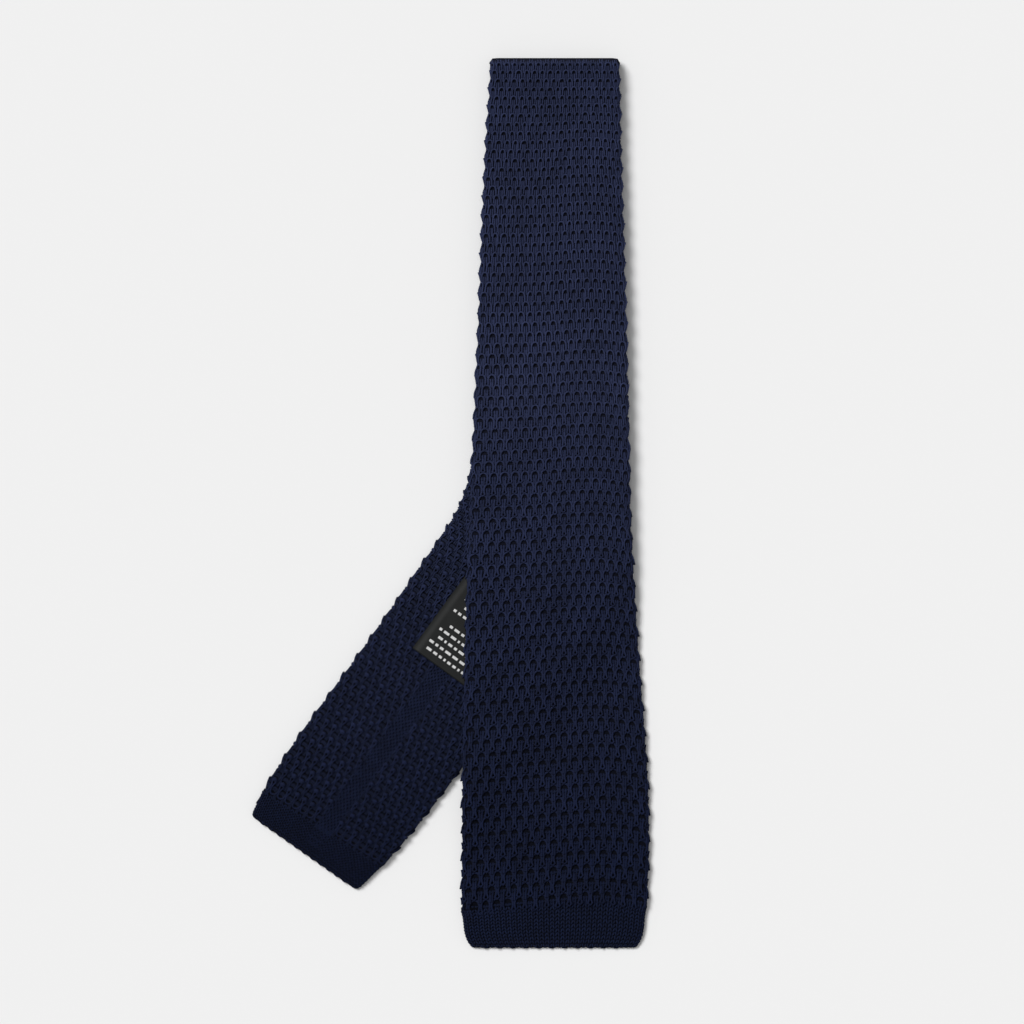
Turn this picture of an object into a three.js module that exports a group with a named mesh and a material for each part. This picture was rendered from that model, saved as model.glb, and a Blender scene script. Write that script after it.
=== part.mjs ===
// A knitted necktie, folded once at the neck and laid flat, broad blade on top.
// Millimetres, +Z up. The surface that it lies on is z = 0 and the fold is at the far end, +Y.
import * as THREE from 'three';

// Driving dimensions of the cloth, in millimetres
const frontLength = 276.1;
const frontWidth = 58.6;
const tailLength = 269.6;
const tailWidth = 47.4;
const neckWidth = 40.2;
const tailAngle = 35.8;
const wall = 1.3;
const hollow = 0.4;
const clearance = 0.3;

// The knit: rows of stitches from fold to hem, and how much taller the last row is than the first
const frontRows = 78;
const frontRowGrowth = 1.65;
const tailRows = 78;
const tailRowGrowth = 1.4;
const scallop = 0.4;

// The plain-knit hem bands that close both ends. The closeness is how late a band thins to its edge.
const frontHemDepth = 13;
const tailHemDepth = 9;
const hemWall = 1.05;
const hemEdge = 1.4;
const hemCloseness = 4;
const tailHemSlant = 4.4;

// The drape of the front blade over the tail and the label
const drapeReach = 20;
const labelDrapeReach = 14;

// The satin care label, folded double, on the back of the tail
const labelLength = 36;
const labelWidth = 22;
const labelThickness = 1;
const labelFromHem = 70.5;
const labelCurl = 0.5;

// What follows from these
const thickness = 2 * wall + hollow;
const hemThickness = 2 * hemWall + hollow;
const tailTop = thickness;
const labelRoom = labelThickness + labelCurl / 2 + clearance;
const foldRadius = (thickness + clearance) / 2;
const foldReach = foldRadius + thickness / 2;

// Front blade. share: of frontLength, from the fold. flare: from neckWidth (0) to frontWidth (1).
// sway: how far the middle wanders sideways, as a share of frontWidth.
const frontTable = [
  { share: 0, flare: 0, sway: 0 },
  { share: 0.13, flare: 0.17, sway: -0.011 },
  { share: 0.27, flare: 0.325, sway: -0.014 },
  { share: 0.4, flare: 0.455, sway: -0.02 },
  { share: 0.535, flare: 0.6, sway: -0.026 },
  { share: 0.67, flare: 0.78, sway: -0.016 },
  { share: 0.805, flare: 0.97, sway: 0.001 },
  { share: 0.89, flare: 1, sway: 0.003 },
  { share: 0.95, flare: 0.975, sway: -0.004 },
  { share: 1, flare: 0.97, sway: -0.004 },
];

// Tail. share: of tailLength, from the fold. flare: from neckWidth (0) to tailWidth (1).
// turn: the heading, as a share of tailAngle. slant: of the stitch rows, as a share of tailHemSlant.
const tailTable = [
  { share: 0, flare: 0, turn: 0.017, slant: 0 },
  { share: 0.2, flare: 0.42, turn: 0.017, slant: 0 },
  { share: 0.38, flare: 0.85, turn: 0.017, slant: 0 },
  { share: 0.5, flare: 1.2, turn: 0.285, slant: 0 },
  { share: 0.555, flare: 1.35, turn: 0.67, slant: 0 },
  { share: 0.61, flare: 1.3, turn: 1, slant: 0 },
  { share: 0.7, flare: 1.1, turn: 1, slant: 0 },
  { share: 0.8, flare: 1, turn: 1.02, slant: 0 },
  { share: 0.9, flare: 0.93, turn: 1.03, slant: 0.2 },
  { share: 0.965, flare: 0.65, turn: 1.03, slant: 1 },
  { share: 1, flare: 0.65, turn: 1.03, slant: 1 },
];

// Hem bands. share: of the band's depth, from the knit body. width: share of the body's width there.
const frontHemTable = [
  { share: 0, width: 0.985 },
  { share: 0.2, width: 0.96 },
  { share: 0.6, width: 0.94 },
  { share: 0.85, width: 0.915 },
  { share: 0.95, width: 0.89 },
  { share: 1, width: 0.875 },
];
const tailHemTable = [
  { share: 0, width: 0.99 },
  { share: 0.3, width: 0.965 },
  { share: 0.6, width: 0.94 },
  { share: 0.9, width: 0.915 },
  { share: 1, width: 0.875 },
];

// Places across a flattened section, from its left edge (-1) to its right edge (1)
const acrossKnit = [-1, -0.66, -0.33, 0, 0.33, 0.66, 1];
const acrossLabel = [-1, -0.5, 0, 0.5, 1];
const foldSteps = 8;
const pathSteps = 400;
const labelSteps = 7;

// Reads a column of a table between its rows, on a smooth curve.
function follow(table, column, share) {
  let i = 0;
  while (i < table.length - 2 && table[i + 1].share < share) {
    i += 1;
  }
  const slope = (k) => {
    const before = table[Math.max(k - 1, 0)];
    const after = table[Math.min(k + 1, table.length - 1)];
    return (after[column] - before[column]) / (after.share - before.share);
  };
  const span = table[i + 1].share - table[i].share;
  const t = THREE.MathUtils.clamp((share - table[i].share) / span, 0, 1);
  const start = table[i][column];
  const end = table[i + 1][column];
  const bend = t * (1 - t) * ((1 - t) * slope(i) - t * slope(i + 1)) * span;
  return start + (end - start) * t * t * (3 - 2 * t) + bend;
}

// 1 at the foot of a drape, falling smoothly to 0 at its reach.
function falloff(distance, reach) {
  return 1 - THREE.MathUtils.smoothstep(distance, 0, reach);
}

// How far along a blade a stitch row lies, as a share, when each row is taller than the last.
function rowShare(row, rows, growth) {
  return (growth ** (row / rows) - 1) / (growth - 1);
}

// The middle line of the tail, walked from the fold by its heading.
function walkTail() {
  const step = (tailLength - foldReach) / pathSteps;
  const places = [{ along: foldReach, x: 0, y: -foldReach, heading: 0 }];
  for (let i = 1; i <= pathSteps; i += 1) {
    const last = places[i - 1];
    const middle = (last.along + step / 2) / tailLength;
    const heading = THREE.MathUtils.degToRad(tailAngle * follow(tailTable, 'turn', middle));
    places.push({
      along: last.along + step,
      x: last.x - step * Math.sin(heading),
      y: last.y - step * Math.cos(heading),
      heading,
    });
  }
  return places;
}
const tailPath = walkTail();

function frontHalfWidth(along) {
  const flare = follow(frontTable, 'flare', along / frontLength);
  return (neckWidth + (frontWidth - neckWidth) * flare) / 2;
}

function tailHalfWidth(along) {
  const flare = follow(tailTable, 'flare', along / tailLength);
  return (neckWidth + (tailWidth - neckWidth) * flare) / 2;
}

function tailPlace(along) {
  const index = ((along - foldReach) / (tailLength - foldReach)) * pathSteps;
  return tailPath[THREE.MathUtils.clamp(Math.round(index), 0, pathSteps)];
}

// Where a point of the floor plan lies on the tail: along it, and sideways from its middle.
function onTail(x, y) {
  let nearest = tailPath[0];
  let least = Infinity;
  for (const place of tailPath) {
    const distance = Math.hypot(x - place.x, y - place.y);
    if (distance < least) {
      least = distance;
      nearest = place;
    }
  }
  const side = (x - nearest.x) * Math.cos(nearest.heading) - (y - nearest.y) * Math.sin(nearest.heading);
  return { along: nearest.along, side };
}

// How high the underside of the front blade lies: on the floor, or draped over the tail and the label.
function restHeight(x, y) {
  const { along, side } = onTail(x, y);
  const beyondTail = Math.abs(side) - tailHalfWidth(along) - wall;
  const overTail = (tailTop + clearance) * falloff(beyondTail, drapeReach);
  const fromHem = tailLength - along;
  const beyondEnds = Math.max(labelFromHem - fromHem, fromHem - labelFromHem - labelLength, 0);
  const beyondSides = Math.max(Math.abs(side) - labelWidth / 2, 0);
  const overLabel = labelRoom * falloff(Math.hypot(beyondEnds, beyondSides), labelDrapeReach);
  return overTail + overLabel;
}

// One closed ring of a flattened section. side and up are its directions, left and right its half
// widths. The points run over the top from the left edge to the right and back underneath.
function ring({ middle, side, up, left, right }, halfHeight, inset, across, height) {
  const points = [];
  const place = (sideways, upwards) => {
    const point = middle.clone().addScaledVector(side, sideways).addScaledVector(up, upwards);
    point.z += height ? height(point.x, point.y) : 0;
    points.push(point);
  };
  const reach = (t) => t * ((t < 0 ? left : right) - inset - halfHeight);
  place(inset - left, 0);
  across.forEach((t) => place(reach(t), halfHeight));
  place(right - inset, 0);
  [...across].reverse().forEach((t) => place(reach(t), -halfHeight));
  return points;
}

// Skins a chain of rings that have the same number of points. A closed chain joins its last ring
// to its first, and an open one is closed by a flat fan at each end.
function skin(rings, closed) {
  const count = rings[0].length;
  const faces = [];
  const bands = closed ? rings.length : rings.length - 1;
  for (let i = 0; i < bands; i += 1) {
    const here = i * count;
    const next = ((i + 1) % rings.length) * count;
    for (let j = 0; j < count; j += 1) {
      const k = (j + 1) % count;
      faces.push(here + j, here + k, next + k, here + j, next + k, next + j);
    }
  }
  const last = (rings.length - 1) * count;
  for (let j = 1; j < count - 1 && !closed; j += 1) {
    faces.push(0, j + 1, j, last, last + j, last + j + 1);
  }
  const geometry = new THREE.BufferGeometry().setFromPoints(rings.flat());
  geometry.setIndex(faces);
  geometry.computeVertexNormals();
  return geometry;
}

// A section across the front blade. bump is 1 where the right edge bulges and -1 where the left does.
function frontSection(along, halfHeight, bump = 0) {
  const half = frontHalfWidth(along);
  const sway = frontWidth * follow(frontTable, 'sway', along / frontLength);
  return {
    middle: new THREE.Vector3(sway, -along, halfHeight),
    side: new THREE.Vector3(1, 0, 0),
    up: new THREE.Vector3(0, 0, 1),
    left: half - scallop * bump,
    right: half + scallop * bump,
  };
}

// A section across the tail, which lies on the floor. The hem's slant comes in over its last rows.
function tailSection(along, halfHeight, bump = 0) {
  const { x, y, heading } = tailPlace(along);
  const half = tailHalfWidth(along);
  const slant = THREE.MathUtils.degToRad(tailHemSlant * follow(tailTable, 'slant', along / tailLength));
  return {
    middle: new THREE.Vector3(x, y, halfHeight),
    side: new THREE.Vector3(Math.cos(heading - slant), -Math.sin(heading - slant), 0),
    up: new THREE.Vector3(0, 0, 1),
    left: half - scallop * bump,
    right: half + scallop * bump,
  };
}

// The knitted tube, flattened: up the front blade, over the fold and down the tail, which lies
// back up. It is open at both hem bands.
function knitBody() {
  const halfHeight = thickness / 2;
  const frontSpan = frontLength - frontHemDepth - foldReach;
  const tailSpan = tailLength - tailHemDepth - foldReach;
  const sections = [];
  for (let row = frontRows; row >= 0; row -= 1) {
    const along = foldReach + frontSpan * rowShare(row, frontRows, frontRowGrowth);
    sections.push({ ...frontSection(along, halfHeight, (-1) ** row), height: restHeight });
  }
  const start = frontSection(foldReach, halfHeight, 1);
  for (let i = 1; i < foldSteps; i += 1) {
    const turn = (Math.PI * i) / foldSteps;
    const up = new THREE.Vector3(0, Math.sin(turn), Math.cos(turn));
    const pivot = new THREE.Vector3(start.middle.x, -foldReach, foldReach);
    sections.push({ ...start, middle: pivot.addScaledVector(up, foldRadius), up });
  }
  for (let row = 0; row <= tailRows; row += 1) {
    const along = foldReach + tailSpan * rowShare(row, tailRows, tailRowGrowth);
    const section = tailSection(along, halfHeight, (-1) ** row);
    section.up.negate();
    sections.push(section);
  }
  const outside = sections.map((section) => ring(section, halfHeight, 0, acrossKnit, section.height));
  const inside = sections.map((section) => ring(section, hollow / 2, wall, acrossKnit, section.height));
  return skin([...outside, ...inside.reverse()], true);
}

// A hem band: a plain-knit cup whose mouth meets the open end of the knit body and whose far edge
// is stitched shut. sectionAt gives the body's section at a place along the blade.
function hemBand(length, depth, table, sectionAt) {
  const mouth = length - depth + clearance;
  const place = (share, halfHeight) => {
    const section = sectionAt(mouth + (length - mouth) * share, halfHeight);
    const width = follow(table, 'width', share);
    return { ...section, left: section.left * width, right: section.right * width };
  };
  const outside = [...table].reverse().map(({ share }) => {
    const halfHeight = THREE.MathUtils.lerp(hemThickness, hemEdge, share ** hemCloseness) / 2;
    return ring(place(share, halfHeight), halfHeight, 0, acrossKnit);
  });
  const inside = table.slice(0, -1).map(({ share }) => {
    return ring(place(share, hemThickness / 2), hollow / 2, hemWall, acrossKnit);
  });
  return skin([...outside, ...inside], false);
}

// How far the label's free lower left corner curls up from the tail.
function curlHeight(x, y) {
  const { along, side } = onTail(x, y);
  const lower = THREE.MathUtils.clamp(1 - (tailLength - along - labelFromHem) / labelLength, 0, 1);
  const outer = THREE.MathUtils.clamp(0.5 - side / labelWidth, 0, 1);
  return labelCurl * lower ** 2 * outer;
}

function careLabel() {
  const rings = [];
  const halfHeight = labelThickness / 2;
  for (let i = 0; i < labelSteps; i += 1) {
    const fromHem = labelFromHem + (labelLength * i) / (labelSteps - 1);
    const section = tailSection(tailLength - fromHem, tailTop + clearance + halfHeight);
    section.left = labelWidth / 2;
    section.right = labelWidth / 2;
    rings.push(ring(section, halfHeight, 0, acrossLabel, curlHeight));
  }
  return skin(rings, false);
}

const knit = new THREE.MeshStandardMaterial({ color: 0x222842, roughness: 0.92, metalness: 0 });
const plainKnit = new THREE.MeshStandardMaterial({ color: 0x1e243c, roughness: 0.9, metalness: 0 });
const satin = new THREE.MeshStandardMaterial({ color: 0x232526, roughness: 0.5, metalness: 0 });

const tie = new THREE.Group();
const addPiece = (name, geometry, material) => {
  const piece = new THREE.Mesh(geometry, material);
  piece.name = name;
  tie.add(piece);
};
addPiece('knit_body', knitBody(), knit);
addPiece('front_hem', hemBand(frontLength, frontHemDepth, frontHemTable, frontSection), plainKnit);
addPiece('tail_hem', hemBand(tailLength, tailHemDepth, tailHemTable, tailSection), plainKnit);
addPiece('care_label', careLabel(), satin);

// The origin is on the surface that the tie lies on, under the middle of its outline.
const outline = new THREE.Box3().setFromObject(tie);
const middle = outline.getCenter(new THREE.Vector3());
tie.position.set(-middle.x, -middle.y, 0);

export default tie;
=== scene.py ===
import bpy
import numpy as np
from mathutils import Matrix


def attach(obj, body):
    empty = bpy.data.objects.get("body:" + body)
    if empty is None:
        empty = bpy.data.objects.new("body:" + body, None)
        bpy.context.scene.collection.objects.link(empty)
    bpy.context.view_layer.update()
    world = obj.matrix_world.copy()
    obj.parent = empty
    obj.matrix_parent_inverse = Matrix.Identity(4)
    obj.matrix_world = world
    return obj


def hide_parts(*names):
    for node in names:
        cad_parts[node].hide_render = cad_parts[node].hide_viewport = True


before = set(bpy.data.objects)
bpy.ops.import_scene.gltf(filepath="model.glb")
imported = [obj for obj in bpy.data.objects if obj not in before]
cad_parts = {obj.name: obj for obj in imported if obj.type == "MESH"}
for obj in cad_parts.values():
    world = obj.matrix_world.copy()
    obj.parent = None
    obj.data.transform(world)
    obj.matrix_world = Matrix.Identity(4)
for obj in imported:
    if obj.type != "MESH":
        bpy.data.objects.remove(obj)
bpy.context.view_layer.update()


# Knitted tube
# The tie is one long cotton tube, knitted in tuck stitch, pressed flat, folded once at the neck and
# laid down. This is the ground of the cloth, which shows between the stitches; its yarn is coloured
# far darker than the stitches' yarn, as painted shade in the holes.
front_length, front_width = 0.2761, 0.0586
tail_length, tail_width = 0.2696, 0.0474
neck_width, tail_angle, tail_hem_slant = 0.0402, 35.8, 4.4
neck_place = (0.032258, 0.13805)
wall, hollow, clearance, scallop = 0.0013, 0.0004, 0.0003, 0.00035
front_hem_depth, tail_hem_depth = 0.013, 0.009
drape_reach, label_drape_reach = 0.020, 0.014
label_length, label_width, label_thickness = 0.036, 0.022, 0.001
label_from_hem, label_curl = 0.0705, 0.0005
hem_sink, hem_sink_reach = 0.0008, 0.0012
scallop_side, scallop_from_fold, sag_from_fold = (0.8, 1), (0.003, 0.009), (-0.004, 0.03)
tube_depth = 2 * wall + hollow
fold_radius = (tube_depth + clearance) / 2
fold_outside = fold_radius + tube_depth / 2
fold_run = np.pi * fold_outside
ground_depth, edge_ground_depth, ground_side = 0.00105, 0.0006, (0.86, 0.98)
fold_ground_height, fold_ground_reach = 0.0001, (0.001, 0.0032)

front_table = {
    "share": [0, 0.13, 0.27, 0.4, 0.535, 0.67, 0.805, 0.89, 0.95, 1],
    "flare": [0, 0.17, 0.325, 0.455, 0.6, 0.78, 0.97, 1, 0.975, 0.97],
    "sway": [0, -0.011, -0.014, -0.02, -0.026, -0.016, 0.001, 0.003, -0.004, -0.004],
    "stretch": [0.05, 0.055, 0.065, 0.14, 0.16, 0.11, 0.025, 0.025, 0.02, 0.02],
}
tail_table = {
    "share": [0, 0.2, 0.38, 0.5, 0.555, 0.61, 0.7, 0.8, 0.9, 0.965, 1],
    "flare": [0, 0.42, 0.85, 1.2, 1.35, 1.3, 1.1, 1, 0.93, 0.65, 0.65],
    "turn": [0.017, 0.017, 0.017, 0.285, 0.67, 1, 1, 1.02, 1.03, 1.03, 1.03],
    "slant": [0, 0, 0, 0, 0, 0, 0, 0, 0.2, 1, 1],
}
# How far the stitch rows sag towards the hem. The share runs across the front blade, from -1 at its
# left edge to 1 at its right.
sag_table = {
    "share": [-1, -0.2, 0.5, 1],
    "near_neck": [0, 0, -0.00095, 0],
    "near_hem": [0.0015, -0.0006, -0.0022, 0],
}


def follow(table, column, share):
    """A column of a table between its rows, on a smooth curve."""
    at = np.array(table["share"], float)
    value = np.array(table[column], float)
    before = np.concatenate([[0], np.arange(len(at) - 1)])
    after = np.concatenate([np.arange(1, len(at)), [len(at) - 1]])
    slope = (value[after] - value[before]) / (at[after] - at[before])
    i = np.searchsorted(at[1:-1], share)
    span = at[i + 1] - at[i]
    t = np.clip((share - at[i]) / span, 0, 1)
    bend = t * (1 - t) * ((1 - t) * slope[i] - t * slope[i + 1]) * span
    return value[i] + (value[i + 1] - value[i]) * t * t * (3 - 2 * t) + bend


def ease(value, low, high):
    """A smooth step from 0 at low to 1 at high."""
    t = np.clip((value - low) / (high - low), 0, 1)
    return t * t * (3 - 2 * t)


def front_half_width(along):
    return (neck_width + (front_width - neck_width) * follow(front_table, "flare", along / front_length)) / 2


def tail_half_width(along):
    return (neck_width + (tail_width - neck_width) * follow(tail_table, "flare", along / tail_length)) / 2


# The middle line of the tail, walked from the fold
walk_steps = 400
tail_along = np.linspace(fold_outside, tail_length, walk_steps + 1)
walk_step = tail_along[1] - tail_along[0]
tail_heading = np.radians(
    tail_angle * follow(tail_table, "turn", (tail_along[1:] - walk_step / 2) / tail_length)
)
tail_x = np.concatenate([[0], -np.cumsum(np.sin(tail_heading) * walk_step)])
tail_y = -fold_outside - np.concatenate([[0], np.cumsum(np.cos(tail_heading) * walk_step)])
tail_heading = np.concatenate([[0], tail_heading])

# How high the front blade's underside lies, over the tail and the label, on a one-millimetre plan
plan_step = 0.001
plan_x = np.arange(-0.040, 0.041, plan_step)
plan_y = np.arange(-0.285, 0.006, plan_step)
plan_points = np.stack(np.meshgrid(plan_x, plan_y, indexing="ij"), -1)
away = np.hypot(plan_points[..., 0, None] - tail_x, plan_points[..., 1, None] - tail_y)
nearest = away.argmin(-1)
beside = (plan_points[..., 0] - tail_x[nearest]) * np.cos(tail_heading[nearest]) - (
    plan_points[..., 1] - tail_y[nearest]
) * np.sin(tail_heading[nearest])
beyond_tail = np.abs(beside) - tail_half_width(tail_along[nearest]) - wall
from_hem = tail_length - tail_along[nearest]
beyond_ends = np.maximum(
    np.maximum(label_from_hem - from_hem, from_hem - label_from_hem - label_length), 0
)
beyond_sides = np.maximum(np.abs(beside) - label_width / 2, 0)
label_room = label_thickness + label_curl / 2 + clearance
plan_height = (tube_depth + clearance) * (1 - ease(beyond_tail, 0, drape_reach)) + label_room * (
    1 - ease(np.hypot(beyond_ends, beyond_sides), 0, label_drape_reach)
)


def rest_height(x, y):
    """The height of the front blade's underside over the floor."""
    i = np.clip((x - plan_x[0]) / plan_step, 0, len(plan_x) - 1.001)
    j = np.clip((y - plan_y[0]) / plan_step, 0, len(plan_y) - 1.001)
    a, b = i.astype(int), j.astype(int)
    u, v = i - a, j - b
    return (
        plan_height[a, b] * (1 - u) * (1 - v)
        + plan_height[a + 1, b] * u * (1 - v)
        + plan_height[a, b + 1] * (1 - u) * v
        + plan_height[a + 1, b + 1] * u * v
    )


# Courses of the knit. Course 0 is near the neck's fold. The courses grow taller towards the front
# hem, and on the other side of the fold they grow towards the tail's hem, with negative numbers.
wales_round = 70
wales_across = wales_round / 2
edge_course = 0.88
neck_course_height = 0.00262
edge_course_run = -0.0016
front_growth, front_courses = 1.68, 78
tail_growth, tail_courses = 1.5, 82


def course_run(course):
    """How far a course lies from the start of the neck's fold, along the face of the cloth."""
    steps = np.abs(course - edge_course)
    front = (front_growth ** (steps / front_courses) - 1) * front_courses / np.log(front_growth)
    tail = (tail_growth ** (steps / tail_courses) - 1) * tail_courses / np.log(tail_growth)
    return edge_course_run + neck_course_height * np.where(course > edge_course, front, -tail)


def course_at(run):
    """Which course lies at this run."""
    courses = np.linspace(-90, 90, 3601)
    return np.interp(run, course_run(courses), courses)


front_body_run = front_length - front_hem_depth - fold_outside
tail_body_run = -fold_run - (tail_length - tail_hem_depth - fold_outside)

# The frames that the cloth follows, sampled along the whole run from the tail's end to the front's
runs = np.linspace(-fold_run - (tail_length - fold_outside), front_length - fold_outside, 4401)
on_front = runs >= 0
on_tail = runs <= -fold_run
front_along = np.clip(runs, 0, None) + fold_outside
back_along = np.clip(-runs - fold_run, 0, None) + fold_outside
turned = np.clip(-runs / fold_outside, 0, np.pi)
slanted = np.interp(back_along, tail_along, tail_heading) - np.radians(
    tail_hem_slant * follow(tail_table, "slant", back_along / tail_length)
)
frame_x = np.where(
    on_tail,
    np.interp(back_along, tail_along, tail_x),
    front_width * follow(front_table, "sway", front_along / front_length),
)
frame_y = np.where(
    on_tail,
    np.interp(back_along, tail_along, tail_y),
    np.where(on_front, -front_along, -fold_outside + np.sin(turned) * fold_radius),
)
frame_angle = np.where(on_tail, slanted, 0)
frame_half = np.where(on_tail, tail_half_width(back_along), front_half_width(front_along))


def flat_section(around, half, half_depth):
    """A place on the flattened tube: sideways, up, and which way is out. around runs from the left
    edge (0) over the face to the right edge (1), and over the back to the left edge again (2)."""
    around = np.mod(around, 2)
    back = around > 1
    part = np.where(back, 2 - around, around)
    corner = np.pi * half_depth / 2
    width = 2 * half - 2 * half_depth
    run = part * (2 * corner + width)
    first = np.clip(run / half_depth, 0, np.pi / 2)
    last = np.clip((run - corner - width) / half_depth, 0, np.pi / 2)
    sideways = -half + half_depth * (1 - np.cos(first)) + np.clip(run - corner, 0, width)
    sideways = sideways + half_depth * np.sin(last)
    up = half_depth * np.where(last > 0, np.cos(last), np.sin(first))
    out_side = np.sin(last) - np.cos(first)
    out_up = np.where(last > 0, np.cos(last), np.sin(first))
    turn = np.where(back, -1.0, 1.0)
    return sideways, up * turn, out_side, out_up * turn


def spread_wales(wale, run):
    """Where a wale lies round the flattened tube, 0 to 2, and across it, -1 to 1. The front blade's
    wales are a little wider at its left edge."""
    around = np.mod(wale / wales_across, 2)
    part = np.where(around > 1, 2 - around, around)
    along = np.clip(run + fold_outside, 0, front_length) / front_length
    part = part + follow(front_table, "stretch", along) * part * (1 - part)
    return np.where(around > 1, 2 - part, part), 2 * part - 1


def row_sag(across, run):
    """How far a stitch row lies below its place, at a share across the blade."""
    share = ease(run, 0, front_body_run)
    sag = follow(sag_table, "near_neck", across) * (1 - share) + follow(sag_table, "near_hem", across) * share
    return sag * ease(run, *sag_from_fold)


def lay(wale, course, height):
    """Lays points of the flat knit on the tie: wale round the tube, course along it, and height
    over the cloth's face, which is negative into the cloth."""
    run = course_run(course)
    around, across = spread_wales(wale, run)
    run = np.clip(run + row_sag(across, run), runs[0], runs[-1])
    side_course = course - edge_course + np.where(across < 0, 1, 0)
    bulge = scallop * (2 * np.abs(np.cos(np.pi * side_course / 2)) - 1)
    bulge = bulge * np.sign(across) * ease(np.abs(across), *scallop_side)
    half = np.interp(run, runs, frame_half)
    under_front_hem = ease(run, front_body_run, front_body_run + hem_sink_reach)
    under_tail_hem = ease(-run, -tail_body_run, hem_sink_reach - tail_body_run)
    height = height - hem_sink * np.maximum(under_front_hem, under_tail_hem)
    sideways, up, out_side, out_up = flat_section(around, half, tube_depth / 2)
    bulge = bulge * ease(np.abs(run + fold_run / 2), *scallop_from_fold)
    sideways = sideways + bulge + out_side * height
    up = up + out_up * height
    angle = np.interp(run, runs, frame_angle)
    turned = np.clip(-run / fold_outside, 0, np.pi)
    x = np.interp(run, runs, frame_x) + np.cos(angle) * sideways
    y = np.interp(run, runs, frame_y) - np.sin(angle) * sideways + np.sin(turned) * up
    in_fold = fold_outside + np.cos(turned) * fold_radius - tube_depth / 2
    below = np.where(run >= 0, rest_height(x, y), np.where(run <= -fold_run, 0, in_fold))
    z = below + tube_depth / 2 + np.cos(turned) * up
    return np.stack([x + neck_place[0], y + neck_place[1], z], -1)


def closed_skin(name, rings, closed):
    """A mesh skinned over a chain of rings with the same number of points, closed at its ends or
    joined from its last ring to its first."""
    count = len(rings[0])
    faces = []
    for i in range(len(rings) if closed else len(rings) - 1):
        here, there = i * count, ((i + 1) % len(rings)) * count
        for j in range(count):
            k = (j + 1) % count
            faces.append((here + j, there + j, there + k, here + k))
    if not closed:
        faces.append(tuple(range(count)))
        faces.append(tuple(reversed(range((len(rings) - 1) * count, len(rings) * count))))
    mesh = bpy.data.meshes.new(name)
    mesh.from_pydata(np.concatenate(rings).tolist(), [], faces)
    mesh.shade_smooth()
    piece = bpy.data.objects.new(name, mesh)
    bpy.context.collection.objects.link(piece)
    return piece


def face_out(piece):
    """Turns the faces of a closed piece outwards."""
    mesh = piece.data
    count = len(mesh.loop_triangles)
    corners = np.empty(count * 3, np.int32)
    mesh.loop_triangles.foreach_get("vertices", corners)
    points = np.empty(len(mesh.vertices) * 3)
    mesh.vertices.foreach_get("co", points)
    a, b, c = points.reshape(-1, 3)[corners.reshape(-1, 3)].transpose(1, 0, 2)
    if (a * np.cross(b, c)).sum() < 0:
        mesh.flip_normals()
    return piece


wale_stations = np.arange(0, wales_round, 1.4)
at_edge = ease(np.abs(2 * np.mod(wale_stations / wales_across, 1) - 1), *ground_side)
ground_height = -ground_depth + (ground_depth - edge_ground_depth) * at_edge
first_ground_course, last_ground_course = course_at(tail_body_run), course_at(front_body_run)
half_courses = np.arange(np.ceil(first_ground_course * 2), last_ground_course * 2) / 2
ground_courses = np.concatenate([[first_ground_course], half_courses, [last_ground_course]])
outside = []
for course in ground_courses:
    at_fold = 1 - ease(abs(course_run(course) + fold_run / 2), *fold_ground_reach)
    height = ground_height + (fold_ground_height - ground_height) * at_fold
    outside.append(lay(wale_stations, course, height))
lining_courses = np.linspace(last_ground_course, first_ground_course, 120)
inside = [lay(wale_stations, course, -wall) for course in lining_courses]
knit_ground = face_out(closed_skin("knit_ground", outside + inside, True))


class Amount:
    """A number worked out by the Math nodes of a tree, so that its formula reads as a plain sum."""

    def __init__(self, socket):
        self.socket = socket

    def reckon(self, operation, *others):
        inputs = enumerate((self, *others))
        return Amount(add(self.socket.id_data, "ShaderNodeMath", inputs, operation=operation))

    def __add__(self, other):
        return self.reckon("ADD", other)

    def __sub__(self, other):
        return self.reckon("SUBTRACT", other)

    def __rsub__(self, other):
        return self * -1 + other

    def __mul__(self, other):
        return self.reckon("MULTIPLY", other)

    def __truediv__(self, other):
        return self.reckon("DIVIDE", other)


def put(socket, value):
    """Links a value to a socket, or sets it there where it is a plain one."""
    if isinstance(value, Amount):
        value = value.socket
    if isinstance(value, bpy.types.NodeSocket):
        socket.id_data.links.new(value, socket)
    elif value is not None:
        socket.default_value = value


def add(tree, kind, inputs=(), output=0, **settings):
    """Adds a node with these settings and inputs, and returns one of its outputs."""
    node = tree.nodes.new(kind)
    for name, value in settings.items():
        setattr(node, name, value)
    for name, value in dict(inputs).items():
        put(node.inputs[name], value)
    return node.outputs[output]


def own_place(tree):
    """The coordinates of the piece itself."""
    return add(tree, "ShaderNodeTexCoord", output="Object")


def mottle(tree, scale, detail=2):
    """Noise over the piece's own coordinates, from 0 to 1."""
    inputs = {"Vector": own_place(tree), "Scale": scale, "Detail": detail}
    return Amount(add(tree, "ShaderNodeTexNoise", inputs, "Fac"))


def blend(tree, share, first, second, kind="MIX"):
    """A blend of two colours."""
    return add(tree, "ShaderNodeMix", {0: share, 6: first, 7: second}, 2, data_type="RGBA", blend_type=kind)


def raise_relief(surface, height, strength, depth):
    """Makes the relief of a surface from a height that changes over it."""
    inputs = {"Strength": strength, "Distance": depth, "Height": height}
    put(surface.inputs["Normal"], add(surface.id_data, "ShaderNodeBump", inputs))


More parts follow.
